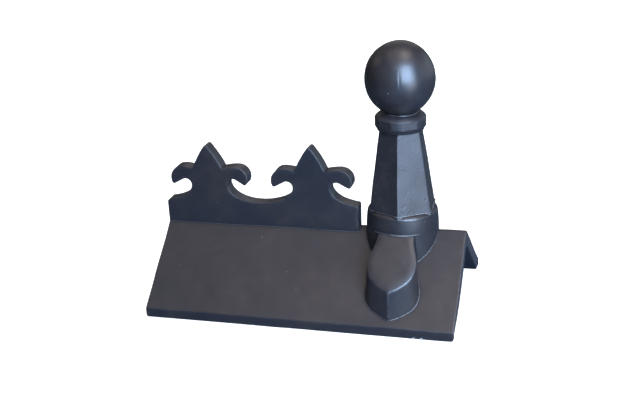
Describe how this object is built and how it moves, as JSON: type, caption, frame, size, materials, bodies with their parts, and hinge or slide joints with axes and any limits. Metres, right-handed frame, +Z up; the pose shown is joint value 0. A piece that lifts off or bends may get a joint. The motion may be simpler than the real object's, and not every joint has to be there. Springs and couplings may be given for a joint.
{
  "type": "finial ridge tile",
  "caption": "Fired-clay angular ridge tile with a fleur-de-lis crest along the ridge and a ball finial on a tapering faceted shaft, made as one piece.",
  "frame": {"origin": "centre of the tile's length and width, on the plane of its two lower edges", "axes": "+X along the ridge towards the finial, +Y across the ridge, +Z up"},
  "size_m": [0.45, 0.25, 0.385],
  "materials": {
    "blue_clay": "smooth, satin, fired in reduction to a dark blue-grey"
  },
  "bodies": {
    "root": {"finial_ridge_tile": "blue_clay"}
  },
  "joints": []
}
